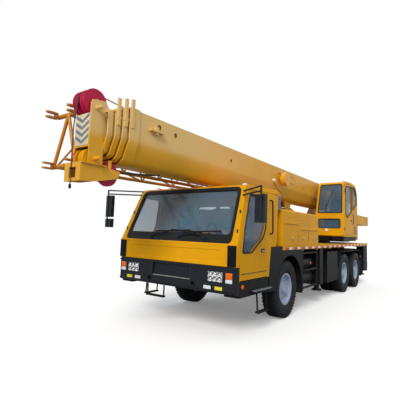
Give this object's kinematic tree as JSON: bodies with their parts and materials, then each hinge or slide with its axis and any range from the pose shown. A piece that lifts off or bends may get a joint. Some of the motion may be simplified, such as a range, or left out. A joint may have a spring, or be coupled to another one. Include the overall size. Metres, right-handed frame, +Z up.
{
  "type": "truck-mounted telescopic mobile crane",
  "caption": "Three-axle truck crane with a telescopic boom stowed over the cab, slewing operator's cab, outriggers and a fly jib stowed along the boom.",
  "frame": {"origin": "on the ground, midway between the boom's tip and the tail of the counterweight, on the vehicle's middle plane", "axes": "+X towards the front of the vehicle, +Y to its left, +Z up"},
  "size_m": [11.44, 3.4, 3.37],
  "materials": {
    "yellow_paint": "golden yellow gloss paint",
    "cab_yellow": "golden yellow gloss paint",
    "boom_yellow": "yellow ochre gloss paint",
    "chassis_black": "satin black paint",
    "bumper_slate": "dark slate paint",
    "deck_steel": "painted chequer plate",
    "black_plastic": "moulded black plastic",
    "glass": "blue tinted safety glass",
    "lamp": "clear lamp lens",
    "tyre": "black rubber",
    "rim_silver": "silver blue paint",
    "seat_fabric": "blue woven cloth",
    "dark_trim": "grained dark grey plastic",
    "engine_grey": "cast iron",
    "axle_black": "painted castings",
    "sheave_red": "cast crimson nylon",
    "chrome_rod": "hard chromed steel",
    "jib_orange": "golden orange paint",
    "winch_grey": "dark grey paint"
  },
  "bodies": {
    "carrier": {"chassis_frame": "chassis_black", "front_bumper": "bumper_slate", "carrier_lamps": "lamp", "cab_shell": "cab_yellow", "cab_front_panel": "cab_yellow", "cab_glass": "glass", "cab_seats": "seat_fabric", "dashboard": "dark_trim", "steps_and_guards": "black_plastic", "mirrors": "black_plastic", "deck": "deck_steel", "engine_cover": "yellow_paint", "engine": "engine_grey", "side_tanks": "chassis_black", "axles": "axle_black", "boom_rest": "yellow_paint", "hook_block": "yellow_paint"},
    "door_left": {"cab_door_left": "cab_yellow", "cab_door_glass_left": "glass"},
    "door_right": {"cab_door_right": "cab_yellow", "cab_door_glass_right": "glass"},
    "knuckle_left": {"knuckle_left": "axle_black"},
    "knuckle_right": {"knuckle_right": "axle_black"},
    "wheel_front_left": {"tyre_front_left": "tyre", "rim_front_left": "rim_silver"},
    "wheel_front_right": {"tyre_front_right": "tyre", "rim_front_right": "rim_silver"},
    "wheel_middle_left": {"tyre_middle_left": "tyre", "rim_middle_left": "rim_silver"},
    "wheel_middle_right": {"tyre_middle_right": "tyre", "rim_middle_right": "rim_silver"},
    "wheel_rear_left": {"tyre_rear_left": "tyre", "rim_rear_left": "rim_silver"},
    "wheel_rear_right": {"tyre_rear_right": "tyre", "rim_rear_right": "rim_silver"},
    "beam_front_left": {"outrigger_beam_front_left": "chassis_black"},
    "jack_front_left": {"outrigger_jack_front_left": "chrome_rod"},
    "beam_front_right": {"outrigger_beam_front_right": "chassis_black"},
    "jack_front_right": {"outrigger_jack_front_right": "chrome_rod"},
    "beam_rear_left": {"outrigger_beam_rear_left": "chassis_black"},
    "jack_rear_left": {"outrigger_jack_rear_left": "chrome_rod"},
    "beam_rear_right": {"outrigger_beam_rear_right": "chassis_black"},
    "jack_rear_right": {"outrigger_jack_rear_right": "chrome_rod"},
    "turntable": {"turntable_frame": "yellow_paint", "winches": "winch_grey", "counterweight": "yellow_paint", "turntable_boxes": "yellow_paint", "operator_cab": "cab_yellow", "operator_glass": "glass", "operator_seat": "seat_fabric"},
    "operator_door": {"operator_door": "cab_yellow", "operator_door_glass": "glass"},
    "boom_base": {"boom_base": "boom_yellow", "fly_jib": "jib_orange"},
    "boom_section_2": {"boom_section_2": "boom_yellow"},
    "boom_section_3": {"boom_section_3": "boom_yellow"},
    "boom_section_4": {"boom_section_4": "boom_yellow", "head_sheaves": "sheave_red"},
    "lift_barrel": {"lift_cylinder_barrel": "yellow_paint"},
    "lift_rod": {"lift_cylinder_rod": "chrome_rod"}
  },
  "joints": [
    {"name": "steer_left", "type": "hinge", "parent": "carrier", "child": "knuckle_left", "pos_m": [1.75, 0.86, 0.54], "axis": [0, 0, 1], "range_deg": [-35, 35]},
    {"name": "steer_right", "type": "hinge", "parent": "carrier", "child": "knuckle_right", "pos_m": [1.75, -0.86, 0.54], "axis": [0, 0, 1], "range_deg": [-35, 35]},
    {"name": "wheel_front_left_spin", "type": "hinge", "parent": "knuckle_left", "child": "wheel_front_left", "pos_m": [1.75, 1.044, 0.54], "axis": [0, 1, 0], "continuous": true},
    {"name": "wheel_front_right_spin", "type": "hinge", "parent": "knuckle_right", "child": "wheel_front_right", "pos_m": [1.75, -1.044, 0.54], "axis": [0, 1, 0], "continuous": true},
    {"name": "wheel_middle_left_spin", "type": "hinge", "parent": "carrier", "child": "wheel_middle_left", "pos_m": [-2.4, 0.917, 0.54], "axis": [0, 1, 0], "continuous": true},
    {"name": "wheel_middle_right_spin", "type": "hinge", "parent": "carrier", "child": "wheel_middle_right", "pos_m": [-2.4, -0.917, 0.54], "axis": [0, 1, 0], "continuous": true},
    {"name": "wheel_rear_left_spin", "type": "hinge", "parent": "carrier", "child": "wheel_rear_left", "pos_m": [-3.75, 0.917, 0.54], "axis": [0, 1, 0], "continuous": true},
    {"name": "wheel_rear_right_spin", "type": "hinge", "parent": "carrier", "child": "wheel_rear_right", "pos_m": [-3.75, -0.917, 0.54], "axis": [0, 1, 0], "continuous": true},
    {"name": "door_left_hinge", "type": "hinge", "parent": "carrier", "child": "door_left", "pos_m": [3.708, 1.25, 1.3], "axis": [0, 0, -1], "range_deg": [0, 70]},
    {"name": "door_right_hinge", "type": "hinge", "parent": "carrier", "child": "door_right", "pos_m": [3.708, -1.25, 1.3], "axis": [0, 0, 1], "range_deg": [0, 70]},
    {"name": "beam_front_left_slide", "type": "slide", "parent": "carrier", "child": "beam_front_left", "axis": [0, 1, 0], "range_m": [0, 1.75]},
    {"name": "jack_front_left_slide", "type": "slide", "parent": "beam_front_left", "child": "jack_front_left", "axis": [0, 0, -1], "range_m": [0, 0.5]},
    {"name": "beam_front_right_slide", "type": "slide", "parent": "carrier", "child": "beam_front_right", "axis": [0, -1, 0], "range_m": [0, 1.75]},
    {"name": "jack_front_right_slide", "type": "slide", "parent": "beam_front_right", "child": "jack_front_right", "axis": [0, 0, -1], "range_m": [0, 0.5]},
    {"name": "beam_rear_left_slide", "type": "slide", "parent": "carrier", "child": "beam_rear_left", "axis": [0, 1, 0], "range_m": [0, 1.75]},
    {"name": "jack_rear_left_slide", "type": "slide", "parent": "beam_rear_left", "child": "jack_rear_left", "axis": [0, 0, -1], "range_m": [0, 0.5]},
    {"name": "beam_rear_right_slide", "type": "slide", "parent": "carrier", "child": "beam_rear_right", "axis": [0, -1, 0], "range_m": [0, 1.75]},
    {"name": "jack_rear_right_slide", "type": "slide", "parent": "beam_rear_right", "child": "jack_rear_right", "axis": [0, 0, -1], "range_m": [0, 0.5]},
    {"name": "slew", "type": "hinge", "parent": "carrier", "child": "turntable", "pos_m": [-2.9, 0, 1.42], "axis": [0, 0, 1], "continuous": true},
    {"name": "operator_door_hinge", "type": "hinge", "parent": "turntable", "child": "operator_door", "pos_m": [-3.253, 1.22, 2.3], "axis": [0, 0, 1], "range_deg": [0, 75]},
    {"name": "boom_luff", "type": "hinge", "parent": "turntable", "child": "boom_base", "pos_m": [-4.55, 0, 2.75], "axis": [0, -1, 0], "range_deg": [0, 80]},
    {"name": "telescope_2", "type": "slide", "parent": "boom_base", "child": "boom_section_2", "axis": [1, 0, 0], "range_m": [0, 7.3]},
    {"name": "telescope_3", "type": "slide", "parent": "boom_base", "child": "boom_section_3", "axis": [1, 0, 0], "range_m": [0, 14.6]},
    {"name": "telescope_4", "type": "slide", "parent": "boom_base", "child": "boom_section_4", "axis": [1, 0, 0], "range_m": [0, 21.9]},
    {"name": "lift_barrel_tilt", "type": "hinge", "parent": "turntable", "child": "lift_barrel", "pos_m": [-3.5, 0, 1.7], "axis": [0, -1, 0], "range_deg": [0, 76.8]},
    {"name": "lift_rod_slide", "type": "slide", "parent": "lift_barrel", "child": "lift_rod", "axis": [0.9753, 0, 0.2208], "range_m": [0, 1.9]}
  ],
  "couplings": [
    {"joint": "steer_right", "follows": "steer_left", "ratio": 1},
    {"joint": "telescope_3", "follows": "telescope_2", "ratio": 2},
    {"joint": "telescope_4", "follows": "telescope_2", "ratio": 3},
    {"joint": "lift_barrel_tilt", "follows": "boom_luff", "ratio": 0.96},
    {"joint": "lift_rod_slide", "follows": "boom_luff", "m_per_rad": 1.3599}
  ]
}
